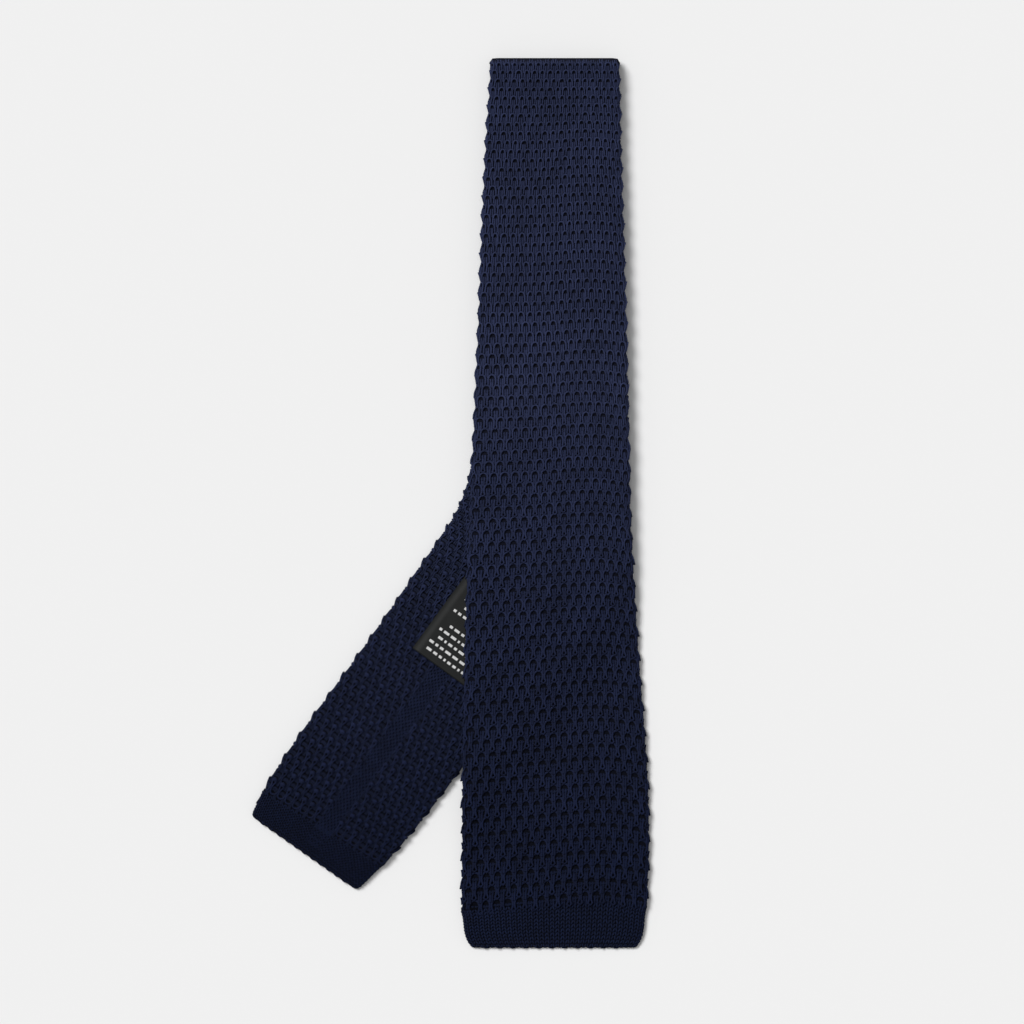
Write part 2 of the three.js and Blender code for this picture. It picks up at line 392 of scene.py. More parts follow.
def yarn_surface():
    """The look of cotton yarn: two plies twisted together, loose fibres, an uneven dye, and painted shade
    that darkens it towards the hems.
    """
    turns_per_metre, plies = 1512, 2
    # Painted shade: how dark the yarn is made towards the hems, and where along the tie that darkening starts
    # and ends
    hem_painted_shade, painted_shade_starts, painted_shade_ends = (0.17, 0.25, 0.38, 1), 0.032, -0.112
    group = bpy.data.node_groups.new("yarn_surface", "ShaderNodeTree")
    for name, kind, value in (
        ("Shade", "NodeSocketColor", (0.012, 0.016, 0.04, 1)),
        ("Light", "NodeSocketColor", (0.03, 0.038, 0.085, 1)),
        ("Fibre Scale", "NodeSocketFloat", 2600),
        ("Twist", "NodeSocketFloat", 1.0),
    ):
        socket = group.interface.new_socket(name, in_out="INPUT", socket_type=kind)
        socket.default_value = value
    group.interface.new_socket("Colour", in_out="OUTPUT", socket_type="NodeSocketColor")
    group.interface.new_socket("Height", in_out="OUTPUT", socket_type="NodeSocketFloat")
    given, result = group.nodes.new("NodeGroupInput"), group.nodes.new("NodeGroupOutput")
    along, ply, chance = (
        Amount(add(group, "ShaderNodeAttribute", output="Fac", attribute_name=name))
        for name in ("along", "ply", "chance")
    )
    fibre, dye = mottle(group, given.outputs["Fibre Scale"], 3), mottle(group, 60)
    strand = (along * (turns_per_metre * 2 * np.pi) + ply * (plies * 2 * np.pi)).reckon("SINE")
    twist = strand * given.outputs["Twist"]
    share = fibre * 0.9 - 0.25 + chance * 0.3 + dye * 0.3 + twist * 0.08
    colour = blend(group, share, given.outputs["Shade"], given.outputs["Light"])
    # Painted shade: the yarn is darkened towards the hems, lower down the tie, standing in for the light
    # falling off there
    split = add(group, "ShaderNodeSeparateXYZ", {"Vector": own_place(group)}, "Y")
    inputs = {"Value": split, "From Min": painted_shade_starts, "From Max": painted_shade_ends}
    painted_shade_share = Amount(add(group, "ShaderNodeMapRange", inputs)).reckon("POWER", 0.6)
    put(result.inputs["Colour"], blend(group, painted_shade_share, colour, hem_painted_shade, "MULTIPLY"))
    put(result.inputs["Height"], twist * 0.35 + fibre)
    return group


yarn_look = yarn_surface()


def new_material(name, roughness, gloss):
    """A material and its surface."""
    material = bpy.data.materials.new(name)
    material.use_nodes = True
    surface = material.node_tree.nodes["Principled BSDF"]
    surface.inputs["Roughness"].default_value = roughness
    surface.inputs["Specular IOR Level"].default_value = gloss
    return material, surface


def yarn_material(name, shade, light, fibre_scale, twist, relief, roughness, sheen):
    """Cotton yarn that runs from one colour to a lighter one."""
    material, surface = new_material(name, roughness, 0.12)
    surface.inputs["Sheen Weight"].default_value = sheen
    surface.inputs["Sheen Roughness"].default_value = 0.5
    surface.inputs["Sheen Tint"].default_value = (0.55, 0.6, 0.9, 1)
    look = material.node_tree.nodes.new("ShaderNodeGroup")
    look.node_tree = yarn_look
    values = {"Shade": (*shade, 1), "Light": (*light, 1), "Fibre Scale": fibre_scale, "Twist": twist}
    for socket, value in values.items():
        look.inputs[socket].default_value = value
    put(surface.inputs["Base Color"], look.outputs["Colour"])
    raise_relief(surface, look.outputs["Height"], relief, 0.00008)
    return material


# Painted shade: the ground's yarn is coloured far darker than the stitches' yarn, for the shade deep in the
# holes
painted_shade_ground_yarn = yarn_material(
    "painted_shade_ground_yarn", (0.003, 0.0035, 0.008), (0.007, 0.008, 0.018), 1800, 0, 0.8, 0.95, 0.0
)
knit_ground.data.materials.append(painted_shade_ground_yarn)
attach(knit_ground, "root")
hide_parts("knit_body")


# Tuck stitches
# Navy cotton yarn, each course a row of long loops. A loop is held over two courses, so its legs
# run down between the holes of one course, and its head closes over a hole of the next but one.
wale_width, course_height = 0.0014, 0.0035
seam_wale, seam_half_wales = 52.5, 2.0

# Half a stitch, from the crest over its neighbour's hole (0) to its own head (1): how far out and
# along, in wales and courses, how deep in metres and how thick, closed near the neck and open below.
stitch_shape = {
    "part": [0, 1 / 6, 2 / 6, 3 / 6, 4 / 6, 5 / 6, 1],
    "across_closed": [1.0, 0.62, 0.42, 0.32, 0.30, 0.28, 0.0],
    "across_open": [1.0, 0.58, 0.25, 0.13, 0.2, 0.42, 0.0],
    "along_closed": [0.79, 0.84, 1.02, 1.24, 1.48, 1.70, 1.82],
    "along_open": [0.8, 0.84, 0.98, 1.2, 1.45, 1.64, 1.8],
    "dip_closed": [0.00005, 0.00005, 0.00012, 0.00018, 0.0002, 0.00035, 0.0006],
    "dip_open": [0.0005, 0.0004, 0.0003, 0.0002, 0.00008, 0, 0],
    "thickness_closed": [1.2, 1.1, 0.88, 0.8, 0.82, 0.9, 1.0],
    "thickness_open": [1.25, 1.25, 1.2, 1.2, 1.3, 1.4, 1.4],
}


field_inputs = {
    "First Wale": 0,
    "Wales": 36,
    "First Course": 0,
    "Courses": 70,
    "Wale Width": wale_width,
    "Course Height": course_height,
    "Yarn Radius": 0.0003,
    "Yarn Sides": 4,
    "Path Steps": 3,
    "Seed": 1,
    "Material": None,
}
seam_inputs = {"Seam Wale": seam_wale, "Seam Half Width": seam_half_wales}


def tree_inputs(tree, inputs):
    """Gives a tree these inputs, and returns them by name with the node that takes its result."""
    kinds = {int: "NodeSocketInt", float: "NodeSocketFloat", type(None): "NodeSocketMaterial"}
    for name, value in inputs.items():
        socket = tree.interface.new_socket(name, in_out="INPUT", socket_type=kinds[type(value)])
        if value is not None:
            socket.default_value = value
    tree.interface.new_socket("Geometry", in_out="OUTPUT", socket_type="NodeSocketGeometry")
    given = tree.nodes.new("NodeGroupInput")
    get = {name: Amount(given.outputs[name]) for name in inputs}
    return get, tree.nodes.new("NodeGroupOutput")


def mark(tree, geometry, name, value):
    """Keeps a value on each point, under a name."""
    inputs = {"Geometry": geometry, "Name": name, "Value": value}
    return add(tree, "GeometryNodeStoreNamedAttribute", inputs, data_type="FLOAT", domain="POINT")


def marked(tree, name):
    """The value that each point keeps under this name."""
    inputs = {"Name": name}
    return Amount(add(tree, "GeometryNodeInputNamedAttribute", inputs, "Attribute", data_type="FLOAT"))


def on_strand(tree, quantity):
    """How far along its strand or its circle a point is, as a share (Factor) or in metres (Length)."""
    return Amount(add(tree, "GeometryNodeSplineParameter", output=quantity))


def chance_value(tree, low, high, seed):
    """A value for each point between low and high, always the same for the same seed."""
    inputs = {2: low, 3: high, "Seed": seed}
    return add(tree, "FunctionNodeRandomValue", inputs, 1, data_type="FLOAT")


def stitch_points(tree, get, strands):
    """A point for each strand of a field of stitches, marked with the wale and course of its stitch,
    its number there, how far down the field it is, and chance."""
    order = Amount(add(tree, "GeometryNodeInputIndex"))
    stitch = ((order + 0.5) / strands).reckon("FLOOR")
    column = ((stitch + 0.5) / get["Courses"]).reckon("FLOOR")
    row = stitch - column * get["Courses"]
    points = add(tree, "GeometryNodePoints", {"Count": get["Wales"] * get["Courses"] * strands})
    points = mark(tree, points, "wale", column + get["First Wale"])
    points = mark(tree, points, "course", row + get["First Course"])
    points = mark(tree, points, "strand", order - stitch * strands)
    points = mark(tree, points, "share", row / get["Courses"])
    points = mark(tree, points, "chance", chance_value(tree, 0.0, 1.0, get["Seed"]))
    return mark(tree, points, "lean", chance_value(tree, -1.0, 1.0, get["Seed"] + 1))


def every_other(tree, points, get):
    """Drops every other stitch, in turn from course to course, and what would lie on the seam."""
    odd = (marked(tree, "wale") + marked(tree, "course")).reckon("FLOORED_MODULO", 2)
    off_seam = (marked(tree, "wale") - get["Seam Wale"]).reckon("ABSOLUTE")
    on_seam = off_seam.reckon("LESS_THAN", get["Seam Half Width"])
    dropped = odd.reckon("GREATER_THAN", 0.5).reckon("MAXIMUM", on_seam)
    inputs = {"Geometry": points, "Selection": dropped}
    return add(tree, "GeometryNodeDeleteGeometry", inputs, domain="POINT")


def strands_at(tree, points, steps):
    """A straight strand at each point, ready to be bent."""
    line = add(tree, "GeometryNodeCurvePrimitiveLine")
    evenly = add(tree, "GeometryNodeResampleCurve", {"Curve": line, "Count": steps})
    spread = add(tree, "GeometryNodeInstanceOnPoints", {"Points": points, "Instance": evenly})
    return add(tree, "GeometryNodeRealizeInstances", {"Geometry": spread})


def spin_yarn(tree, get, strands, x, y, z, thickness, result):
    """Bends the strands to their place, wale by wale and course by course, and gives them the
    thickness of yarn."""
    across, down = x * get["Wale Width"], y * get["Course Height"] * -1
    place = add(tree, "ShaderNodeCombineXYZ", {"X": across, "Y": down, "Z": z})
    bent = add(tree, "GeometryNodeSetPosition", {"Geometry": strands, "Position": place})
    sized = add(tree, "GeometryNodeSetCurveRadius", {"Curve": bent, "Radius": thickness})
    level = add(tree, "GeometryNodeSetCurveNormal", {"Curve": sized}, mode="Z_UP")
    path = mark(tree, level, "along", on_strand(tree, "Length"))
    inputs = {"Resolution": get["Yarn Sides"], "Radius": get["Yarn Radius"]}
    circle = add(tree, "GeometryNodeCurvePrimitiveCircle", inputs)
    profile = mark(tree, circle, "ply", on_strand(tree, "Factor"))
    inputs = {"Curve": path, "Profile Curve": profile, "Fill Caps": True}
    swept = add(tree, "GeometryNodeCurveToMesh", inputs)
    smooth = add(tree, "GeometryNodeSetShadeSmooth", {"Geometry": swept})
    real = add(tree, "GeometryNodeRealizeInstances", {"Geometry": smooth})
    dyed = add(tree, "GeometryNodeSetMaterial", {"Geometry": real, "Material": get["Material"]})
    put(result.inputs["Geometry"], dyed)


def traced(tree, value, at, heights):
    """A smooth curve through these heights, read at a value from 0 to 1."""
    made = tree.nodes.new("ShaderNodeFloatCurve")
    low, high = min(heights), max(heights)
    curve = made.mapping.curves[0]
    for i, (x, y) in enumerate(zip(at, heights)):
        y = (y - low) / (high - low)
        if i < 2:
            curve.points[i].location = (x, y)
        else:
            curve.points.new(x, y)
    made.mapping.update()
    put(made.inputs["Value"], value)
    return Amount(made.outputs["Value"]) * (high - low) + low


def tuck_stitch_tree():
    """Long loops in a staggered field, in the flat knit's own space."""
    tree = bpy.data.node_groups.new("tuck_stitches", "GeometryNodeTree")
    uneven_across, uneven_along, uneven_height, uneven_thickness = 0.13, 0.14, 0.0002, 0.12
    changes = {"Closed Course": 20.0, "Open Course": 55.0, "Unevenness": 1.0}
    get, result = tree_inputs(tree, {**field_inputs, **seam_inputs, **changes})
    points = every_other(tree, stitch_points(tree, get, 1), get)
    strands = strands_at(tree, points, get["Path Steps"])
    wale, course, chance, lean = (marked(tree, name) for name in ("wale", "course", "chance", "lean"))
    inputs = {"Value": course, "From Min": get["Closed Course"], "From Max": get["Open Course"]}
    opened = Amount(add(tree, "ShaderNodeMapRange", inputs, interpolation_type="SMOOTHSTEP"))
    swing = on_strand(tree, "Factor") * 2 - 1
    half = 1 - swing.reckon("ABSOLUTE")

    def shape(quantity):
        closed = traced(tree, half, stitch_shape["part"], stitch_shape[quantity + "_closed"])
        wide = traced(tree, half, stitch_shape["part"], stitch_shape[quantity + "_open"])
        return closed + (wide - closed) * opened

    # Across: out over the neighbours' holes at both ends, then the legs, then the round head
    shift = lean * get["Unevenness"] * uneven_across * (half * 3).reckon("MINIMUM", 1)
    x = shape("across") * swing.reckon("SIGN") + shift + wale
    # Along: from the crest over the holes down to the head
    uneven = (chance - 0.5) * get["Unevenness"]
    y = shape("along") + uneven * uneven_along * half + course
    # Height: crest over head near the neck, head over crest near the hem
    z = uneven * uneven_height - get["Yarn Radius"] - shape("dip")
    spin_yarn(tree, get, strands, x, y, z, shape("thickness") + uneven * uneven_thickness, result)
    return tree


def knit_with(tree, name, values):
    """Runs a knitting tree with these inputs and returns its plain mesh as a piece."""
    holder = bpy.data.objects.new(name, bpy.data.meshes.new(name + "_start"))
    bpy.context.collection.objects.link(holder)
    run = holder.modifiers.new("knit", "NODES")
    run.node_group = tree
    sockets = {s.name: s.identifier for s in tree.interface.items_tree if s.in_out == "INPUT"}
    for given_name, value in values.items():
        run[sockets[given_name]] = value
    made = holder.evaluated_get(bpy.context.evaluated_depsgraph_get())
    mesh = bpy.data.meshes.new_from_object(made)
    holder.modifiers.remove(run)
    holder.data = mesh
    mesh.name = name
    return holder


def lay_stitches(piece, across, along, place):
    """Moves the points of a flat knit, whose wales are this far across and its courses this far
    along, to the tie with a function of wale, course and height."""
    mesh = piece.data
    points = np.empty(len(mesh.vertices) * 3, np.float32)
    mesh.vertices.foreach_get("co", points)
    points = points.reshape(-1, 3).astype(float)
    laid = place(points[:, 0] / across, -points[:, 1] / along, points[:, 2])
    mesh.vertices.foreach_set("co", laid.astype(np.float32).ravel())
    mesh.shade_smooth()
    mesh.update()
    return piece


tuck_yarn = yarn_material(
    "tuck_yarn", (0.006, 0.0085, 0.023), (0.033, 0.043, 0.106), 2600, 1.0, 0.8, 0.8, 0.02
)
tuck_stitches = tuck_stitch_tree()
stitch_pieces = []


def lay_knit(tree, name, slot, across, along, values, place=lay):
    """Knits a piece with one of the trees, lays it on the tie and fixes it to the part. On the flat
    its wales are this far across and its courses this far along."""
    sizes = {"Wale Width": across, "Course Height": along}
    piece = lay_stitches(knit_with(tree, name, {**sizes, **values}), across, along, place)
    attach(piece, "root")
    return piece


for name, first_wale, wales, first_course, courses, sides, steps, closed, opened, radius in (
    ("front_face_stitches", 0, 36, -2, 79, 5, 13, 18.0, 55.0, 0.00032),
    ("front_back_stitches", 36, 34, 2, 76, 4, 9, 18.0, 55.0, 0.00038),
    ("tail_back_stitches", 36, 34, -82, 77, 5, 13, -200.0, -150.0, 0.00029),
    ("tail_face_stitches", 0, 36, -82, 80, 4, 7, -200.0, -150.0, 0.00038),
):
    values = {
        "First Wale": first_wale,
        "Wales": wales,
        "First Course": first_course,
        "Courses": courses,
        "Yarn Sides": sides,
        "Yarn Radius": radius,
        "Path Steps": steps,
        "Closed Course": closed,
        "Open Course": opened,
        "Seed": len(stitch_pieces) * 10 + 3,
        "Material": tuck_yarn,
    }
    stitch_pieces.append(lay_knit(tuck_stitches, name, "tuck_knit", wale_width, course_height, values))


# Held yarn under the stitches
# The yarn of the courses between, which the long loops hold. It stands behind each pair of legs or
# crosses below a hole in short sagging bars, and on the tail its purl bumps stand out. The crossing
# bars and the tail's legs are coloured darker than the stitches, as painted shade deep in the recess.
def held_yarn_tree():
    """Strands that fill the knit below each hole, either standing or crossing it."""
    tree = bpy.data.node_groups.new("held_yarn", "GeometryNodeTree")
    ways = {"Strands": 2, "Standing": 0.0, "Apart": 0.46, "Reach": 0.66, "Bow": 0.0}
    places = {"From": 0.2, "Length": 0.6, "First Depth": 0.0006, "Last Depth": 0.0009}
    strand_pitch, sag, uneven_along, uneven_height = 0.14, 0.07, 0.05, 0.0001
    get, result = tree_inputs(tree, {**field_inputs, **seam_inputs, **ways, **places})
    points = every_other(tree, stitch_points(tree, get, get["Strands"]), get)
    strands = strands_at(tree, points, get["Path Steps"])
    wale, course, strand = (marked(tree, name) for name in ("wale", "course", "strand"))
    chance, share = marked(tree, "chance"), marked(tree, "share")
    part = on_strand(tree, "Factor")
    crossing = 1 - get["Standing"]
    swing = part * 2 - 1
    apart = (strand - 0.5) * get["Apart"] * get["Standing"]
    x = swing * get["Reach"] * crossing + apart + wale
    level = strand * strand_pitch + get["From"] + (chance - 0.5) * uneven_along
    crossed = level + (1 - swing * swing) * sag
    stood = part * get["Length"] + get["From"]
    y = crossed * crossing + stood * get["Standing"] + course
    depth = (get["Last Depth"] - get["First Depth"]) * share + get["First Depth"]
    z = (chance - 0.5) * uneven_height - depth - swing * swing * get["Bow"]
    spin_yarn(tree, get, strands, x, y, z, 1.0, result)
    return tree


# Painted shade: a darker copy of the stitches' yarn, for the held yarn that lies deep in the recess below the
# holes
painted_shade_held_yarn = yarn_material(
    "held_yarn", (0.007, 0.0095, 0.023), (0.025, 0.033, 0.075), 2600, 1.0, 0.8, 0.85, 0.02
)
held_yarn = held_yarn_tree()
held_fields = {
    "front_standing_yarn": {
        "Courses": 36, "Standing": 1.0, "Apart": 0.5, "From": 0.23, "Length": 0.9,
        "Yarn Radius": 0.00034, "First Depth": 0.0007, "Last Depth": 0.00085,
    },
    "front_lower_standing_yarn": {
        "First Course": 34, "Courses": 44, "Standing": 1.0, "Apart": 0.5, "From": 0.18, "Length": 0.92,
        "Yarn Radius": 0.00034, "First Depth": 0.00088, "Last Depth": 0.00105,
    },
    "front_crossing_yarn": {
        "First Course": 26, "Courses": 52, "Strands": 1, "From": 0.28,
        "Yarn Radius": 0.00032, "First Depth": 0.0012, "Last Depth": 0.001,
        "Material": painted_shade_held_yarn,
    },
    "front_leg_yarn": {
        "First Course": 26, "Courses": 51, "Standing": 1.0, "Apart": 0.36, "From": 0.5, "Length": 0.5,
        "Yarn Radius": 0.00036, "First Depth": 0.001, "Last Depth": 0.0003,
    },
    "tail_crossing_yarn": {
        "First Wale": 36, "Wales": 34, "First Course": -81, "Courses": 76, "Strands": 2, "From": 0.12,
        "Yarn Radius": 0.00033, "First Depth": 0.0008, "Last Depth": 0.0008,
        "Material": painted_shade_held_yarn,
    },
    "tail_leg_yarn": {
        "First Wale": 36, "Wales": 34, "First Course": -83, "Courses": 78, "Standing": 1.0,
        "Apart": 0.36, "From": 0.5, "Length": 0.5, "Yarn Radius": 0.0003,
        "First Depth": 0.0007, "Last Depth": 0.0007, "Material": painted_shade_held_yarn,
    },
    "tail_purl_yarn": {
        "First Wale": 36, "Wales": 34, "First Course": -80, "Courses": 75, "Strands": 1, "From": -0.2,
        "Yarn Radius": 0.00056, "Yarn Sides": 6, "Path Steps": 4, "Reach": 0.38, "Bow": 0.0008,
        "First Depth": -0.0001, "Last Depth": -0.0001,
    },
}
for name, field in held_fields.items():
    values = {"First Course": -2, "Material": tuck_yarn, "Seed": len(stitch_pieces) * 10 + 3, **field}
    stitch_pieces.append(lay_knit(held_yarn, name, "tuck_knit", wale_width, course_height, values))


# Seam band
# Down the middle of the tube's back the two edges of the knit are joined by a narrow band of fine
# plain stitches, which shows on the tail.
def plain_stitch_tree():
    """Fine plain stitches, each two slanting legs that meet in a V."""
    leg_starts, leg_slant, leg_length, uneven_across, uneven_height = 0.07, 0.36, 1.05, 0.08, 0.00008
    tree = bpy.data.node_groups.new("plain_stitches", "GeometryNodeTree")
    get, result = tree_inputs(tree, {**field_inputs, "Dip": 0.00035, "Unevenness": 1.0})
    strands = strands_at(tree, stitch_points(tree, get, 2), get["Path Steps"])
    wale, course, strand, chance = (marked(tree, name) for name in ("wale", "course", "strand", "chance"))
    part = on_strand(tree, "Factor")
    uneven = (chance - 0.5) * get["Unevenness"]
    x = (part * leg_slant + leg_starts) * (strand * 2 - 1) + uneven * uneven_across + wale + 0.5
    y = part * -leg_length + leg_length + course
    arch = (part * np.pi).reckon("SINE")
    z = (arch - 1) * get["Dip"] - get["Yarn Radius"] + uneven * uneven_height
    spin_yarn(tree, get, strands, x, y, z, 1.0, result)
    return tree


plain_yarn = yarn_material(
    "plain_yarn", (0.006, 0.0085, 0.023), (0.033, 0.045, 0.106), 3200, 0.6, 0.8, 0.8, 0.02
)
plain_stitches = plain_stitch_tree()
seam_columns, seam_wales, seam_yarn_radius, plain_dip = 5, 4.6, 0.00024, 0.0008
seam_column_wales = seam_wales / seam_columns
for name, first_course, last_course, row_courses in (
    ("tail_seam", -83.0, -4.2, 0.42),
    ("front_seam", 2.6, 77.2, 0.5),
):

    def seam_place(column, row, height):
        wale = seam_wale + (column - seam_columns / 2) * seam_column_wales
        return lay(wale, first_course + row * row_courses, height)

    values = {
        "Wales": seam_columns,
        "Courses": int((last_course - first_course) / row_courses),
        "Yarn Radius": seam_yarn_radius,
        "Dip": plain_dip,
        "Seed": len(stitch_pieces) * 10 + 3,
        "Material": plain_yarn,
    }
    across, along = seam_column_wales * wale_width, row_courses * course_height
    piece = lay_knit(plain_stitches, name, "plain_knit", across, along, values, seam_place)
    stitch_pieces.append(piece)


# Hem bands
# Both ends are finished with a band of plain knitting in finer rows, a shallow cup whose far edge is
# sewn shut with small stitches over the edge.
hem_wall, hem_edge, hem_closeness, hem_turn_in = 0.00105, 0.0014, 4, 0.0012
hem_thickness = 2 * hem_wall + hollow
hem_ground_depth, hem_edge_ground_depth = 0.0007, 0.0003
hem_wale_width, hem_course_height = 0.0016, 0.00108
tail_hem_turn, tail_hem_pull = 2.7, 0.0008
hem_tables = {
    "front_hem": {"share": [0, 0.2, 0.6, 0.85, 0.95, 1], "width": [1.005, 0.985, 0.965, 0.93, 0.9, 0.88]},
    "tail_hem": {"share": [0, 0.3, 0.6, 0.9, 1], "width": [0.99, 0.965, 0.94, 0.91, 0.872]},
}


def hem_place(hem, length, depth, on_tail):
    """A function that lays points of a hem band: wale round it, share of its depth, and height."""

    def place(wale, share, height):
        along = length - depth * (1 - share)
        around, across = spread_wales(wale, -along if on_tail else along)
        if on_tail:
            run = -fold_run - (along - fold_outside)
        else:
            run = along - fold_outside + row_sag(across, along - fold_outside) * np.clip(1 - share, 0, 1)
        width = follow(hem_tables[hem], "width", np.clip(share, 0, 1))
        half = np.interp(run, runs, frame_half) * width
        half_depth = (hem_thickness + (hem_edge - hem_thickness) * np.clip(share, 0, 1) ** hem_closeness) / 2
        sideways, up, out_side, out_up = flat_section(around, half, half_depth)
        sideways = sideways + out_side * height
        up = (up + out_up * height) * (-1 if on_tail else 1)
        # The tail's band is pulled a little askew by the seam that ends in it
        pulled = ease(share, 0, 1) if on_tail else 0
        angle = np.interp(run, runs, frame_angle) + np.radians(tail_hem_turn) * pulled
        further = tail_hem_pull * pulled
        x = np.interp(run, runs, frame_x) + np.cos(angle) * sideways - np.sin(angle) * further
        y = np.interp(run, runs, frame_y) - np.sin(angle) * sideways - np.cos(angle) * further
        return np.stack([x + neck_place[0], y + neck_place[1], half_depth + up], -1)

    return place


def sew_shut(name, place, first_wale):
    """Small stitches over the edge of a hem band, from its face round to its back, in one piece."""
    sides, rings, radius, wales_apart, last_wale = 6, 9, 0.00024, 2.7, wales_across - 4
    points, faces = [], []
    for wale in np.arange(first_wale, last_wale, wales_apart):
        front = np.array([wale, wale + 0.4, wale + 0.9])
        back = wales_round - np.array([wale + 1.6, wale + 1.2])
        path = np.concatenate(
            [
                place(front, np.array([0.94, 1.0, 1.025]), np.array([-0.0003, 0.0002, -0.0003])),
                place(back, np.array([1.0, 0.94]), np.array([0.0002, -0.0003])),
            ]
        )
        path[2, 2] = (path[1, 2] + path[3, 2]) / 2
        at = np.linspace(0, 4, rings)
        path = np.stack([np.interp(at, np.arange(5), path[:, i]) for i in range(3)], -1)
        path[1:-1] = (path[:-2] + 2 * path[1:-1] + path[2:]) / 4
        heading = np.gradient(path, axis=0)
        heading /= np.linalg.norm(heading, axis=1)[:, None]
        side = np.diff(place(np.array([wale, wale + 1]), 0.95, 0), axis=0)
        side = side / np.linalg.norm(side)
        side = side - heading * (heading * side).sum(1)[:, None]
        side /= np.linalg.norm(side, axis=1)[:, None]
        over = np.cross(heading, side)
        start = len(points)
        for i in range(rings):
            for turn in np.arange(sides) * 2 * np.pi / sides:
                points.append(path[i] + radius * (np.cos(turn) * side[i] + np.sin(turn) * over[i]))
        for i in range(rings - 1):
            for j in range(sides):
                k = (j + 1) % sides
                a, b = start + i * sides, start + (i + 1) * sides
                faces.append((a + j, a + k, b + k, b + j))
        faces.append(tuple(start + j for j in reversed(range(sides))))
        faces.append(tuple(start + (rings - 1) * sides + j for j in range(sides)))
    mesh = bpy.data.meshes.new(name)
    mesh.from_pydata([tuple(map(float, point)) for point in points], [], faces)
    mesh.shade_smooth()
    mesh.materials.append(plain_yarn)
    piece = bpy.data.objects.new(name, mesh)
    bpy.context.collection.objects.link(piece)
    return face_out(piece)


for hem, length, depth, on_tail_end, rows, yarn_radius in (
    ("front_hem", front_length, front_hem_depth, False, 12, 0.0003),
    ("tail_hem", tail_length, tail_hem_depth, True, 9, 0.00024),
):
    place = hem_place(hem, length, depth, on_tail_end)
    deep = [place(wale_stations, share, -hem_wall) for share in np.linspace(0.85, -0.08, 5)]
    outside = []
    for share in np.linspace(-0.08, 0.99, 10):
        near_edge = np.maximum(np.abs(spread_wales(wale_stations, 1)[1]) ** 24, max(0, share) ** 8)
        height = -hem_ground_depth + (hem_ground_depth - hem_edge_ground_depth) * near_edge
        outside.append(place(wale_stations, share, height))
    ground = face_out(closed_skin(hem + "_ground", deep + outside, False))
    # The hem's ground takes the same darker yarn, as painted shade between its stitches
    ground.data.materials.append(painted_shade_ground_yarn)
    values = {
        "Wales": wales_round,
        "Courses": rows,
        "Yarn Radius": yarn_radius,
        "Path Steps": 4,
        "Dip": plain_dip,
        "Seed": 71 + rows,
        "Material": plain_yarn,
    }

    def hem_row_place(wale, row, height):
        return place(wale, row / (rows + 0.1), height)

    sizes = (hem_wale_width, hem_course_height)
    piece = lay_knit(plain_stitches, hem + "_stitches", "plain_knit", *sizes, values, hem_row_place)
    closing = sew_shut(hem + "_closing", place, 2.5)
    for part in (ground, closing):
        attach(part, "root")
    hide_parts(hem)


# Care label
# A strip of black satin ribbon, folded double and caught in the knitting by its upper end. The fold
# is its free lower end, which curls up a little. Plain white bars are woven into it.
label_ply = 0.0003
label_gap = 0.00012


def label_place(across, up_from_fold, height):
    """A place on the tail's back, with across from -1 at the label's left edge to 1 at its right."""
    along = tail_length - label_from_hem - up_from_fold
    heading = np.interp(along, tail_along, tail_heading)
    slant = np.radians(tail_hem_slant * follow(tail_table, "slant", along / tail_length))
    angle = heading - slant
    x = np.interp(along, tail_along, tail_x) + np.cos(angle) * across * label_width / 2
    y = np.interp(along, tail_along, tail_y) - np.sin(angle) * across * label_width / 2
    lower = np.clip(1 - up_from_fold / label_length, 0, 1)
    z = tube_depth + height + label_curl * lower ** 2 * np.clip(0.5 - across / 2, 0, 1)
    return np.stack([x + neck_place[0], y + neck_place[1], z], -1)


half_gap = label_gap / 2
ply_middle = half_gap + label_ply / 2
fold_middle, fold_starts = 0.0005, 0.0006
fold_turns = np.linspace(-np.pi / 2, np.pi / 2, 7)
middle_line = [(u, -ply_middle) for u in np.linspace(label_length, fold_starts, 14)]
middle_line += [(fold_middle - np.cos(t) * ply_middle, np.sin(t) * ply_middle) for t in fold_turns]
middle_line += [(u, ply_middle) for u in np.linspace(fold_starts, label_length, 14)]
middle_line = np.array(middle_line)
heading_line = np.gradient(middle_line, axis=0)
heading_line /= np.linalg.norm(heading_line, axis=1)[:, None]
normal_line = np.stack([-heading_line[:, 1], heading_line[:, 0]], 1)
label_stations = np.linspace(-1, 1, 9)
label_rings = []
label_lift = 0.0001
for at, normal in zip(middle_line, normal_line):
    upper, lower = at + normal * label_ply / 2, at - normal * label_ply / 2
    lift = label_lift + label_ply + half_gap
    over = label_place(label_stations, upper[0], upper[1] + lift)
    under = label_place(label_stations[::-1], lower[0], lower[1] + lift)
    label_rings.append(np.concatenate([over, under]))
label = face_out(closed_skin("care_label_ribbon", label_rings, False))

satin_shade, satin_light = (0.0052, 0.0058, 0.0058, 1), (0.0092, 0.0101, 0.0101, 1)
satin, satin_surface = new_material("label_satin", 0.6, 0.18)
satin_tree = satin.node_tree
satin_colour = blend(satin_tree, mottle(satin_tree, 400), satin_shade, satin_light)
put(satin_surface.inputs["Base Color"], satin_colour)
across_label = {"Vector": own_place(satin_tree), "Rotation": (0, 0, np.radians(tail_angle))}
weave = {"Vector": add(satin_tree, "ShaderNodeMapping", across_label), "Scale": 1500, "Distortion": 1.2}
threads = add(satin_tree, "ShaderNodeTexWave", weave, "Fac", bands_direction="Y")
raise_relief(satin_surface, threads, 0.3, 0.00003)
label.data.materials.append(satin)

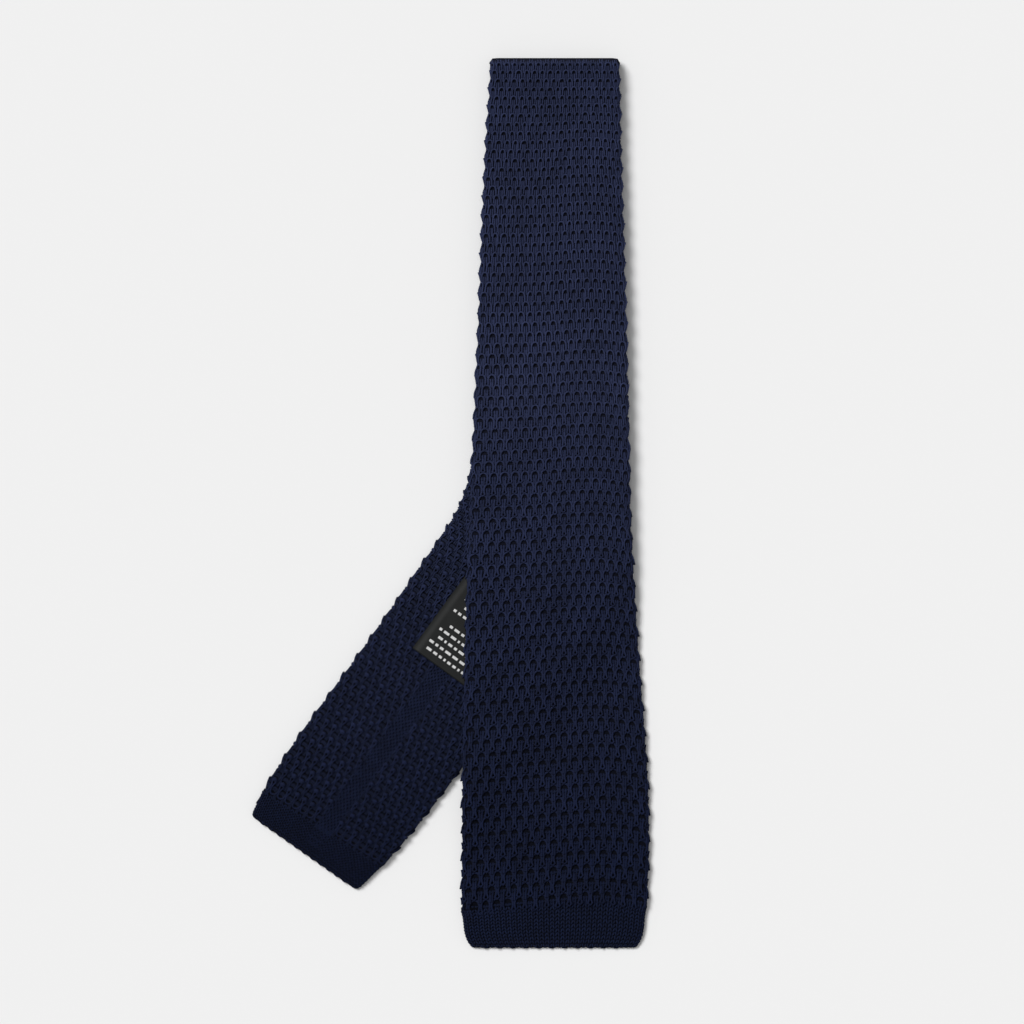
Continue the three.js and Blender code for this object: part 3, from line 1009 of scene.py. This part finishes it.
# Plain bars of white thread, woven into the label's upper side in rows across it
bar_rows, bar_pitch, bar_space, blank_row, rows_in_block = 14, 0.00238, 0.055, 5, 7
bar_margin, shortest_bar, bar_lift = 0.003, 0.06, label_lift + 2 * label_ply + label_gap
box_faces = ((0, 1, 2, 3), (7, 6, 5, 4), (0, 4, 5, 1), (1, 5, 6, 2), (2, 6, 7, 3), (3, 7, 4, 0))
bar_points, bar_faces = [], []
bar_chance = np.random.default_rng(5)
for row in range(bar_rows):
    up_from_fold = bar_margin + row * bar_pitch
    if row % rows_in_block == blank_row or up_from_fold > label_length - bar_margin:
        continue
    reach = bar_chance.uniform(0.45, 0.75)
    start = -reach
    while start < reach - shortest_bar:
        end = min(start + bar_chance.uniform(0.07, 0.2), reach)
        corner = len(bar_points)
        for inset, half_high, lift in ((0, 0.00048, -0.0001), (0.01, 0.00038, 0.00006)):
            low, high = start + inset, end - inset
            for a, b in ((low, half_high), (high, half_high), (high, -half_high), (low, -half_high)):
                bar_points.append(label_place(a, up_from_fold + b, bar_lift + lift))
        bar_faces += [tuple(corner + i for i in face) for face in box_faces]
        start = end + bar_space
bars_mesh = bpy.data.meshes.new("label_bars")
bars_mesh.from_pydata([tuple(map(float, p)) for p in bar_points], [], bar_faces)
bars = face_out(bpy.data.objects.new("label_bars", bars_mesh))
bpy.context.collection.objects.link(bars)
thread_shade, thread_light = (0.25, 0.25, 0.26, 1), (0.85, 0.85, 0.84, 1)
white_thread, thread_surface = new_material("white_thread", 0.6, 0.5)
thread_tree = white_thread.node_tree
thread_colour = blend(thread_tree, mottle(thread_tree, 3500), thread_shade, thread_light)
put(thread_surface.inputs["Base Color"], thread_colour)
bars_mesh.materials.append(white_thread)
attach(bars, "root")
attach(label, "root")
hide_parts("care_label")


# Floor, light and camera
# A plain pale floor under a broad soft light from the upper left, a weaker one from overhead and a
# pale world, seen from straight above.
floor_mesh = bpy.data.meshes.new("floor")
floor_points = [(x, y, -0.00005) for x, y in ((-4, -4), (4, -4), (4, 4), (-4, 4))]
floor_mesh.from_pydata(floor_points, [], [(0, 1, 2, 3)])
floor = bpy.data.objects.new("floor", floor_mesh)
bpy.context.collection.objects.link(floor)
paper, paper_surface = new_material("pale_paper", 0.9, 0.1)
paper_surface.inputs["Base Color"].default_value = (0.8, 0.8, 0.8, 1)
floor_mesh.materials.append(paper)

world = bpy.data.worlds.new("studio")
bpy.context.scene.world = world
world.use_nodes = True
world.node_tree.nodes["Background"].inputs["Color"].default_value = (1, 1, 1, 1)
world.node_tree.nodes["Background"].inputs["Strength"].default_value = 0.26

for name, strength, spread, tilt in (("side_softbox", 2.75, 26, 37), ("top_softbox", 0.42, 30, 4)):
    lamp = bpy.data.lights.new(name, "SUN")
    lamp.energy, lamp.angle = strength, np.radians(spread)
    softbox = bpy.data.objects.new(name, lamp)
    softbox.rotation_euler = (np.radians(tilt), 0, np.radians(-132))
    bpy.context.collection.objects.link(softbox)

view_centre, view_width, camera_height = (0.01896, -0.00269), 0.31744, 1.6
lens = bpy.data.cameras.new("camera")
lens.lens = 36 * camera_height / view_width
camera = bpy.data.objects.new("camera", lens)
camera.location = (*view_centre, camera_height + 0.004)
bpy.context.collection.objects.link(camera)
bpy.context.scene.camera = camera
bpy.context.scene.view_settings.view_transform = "Standard"
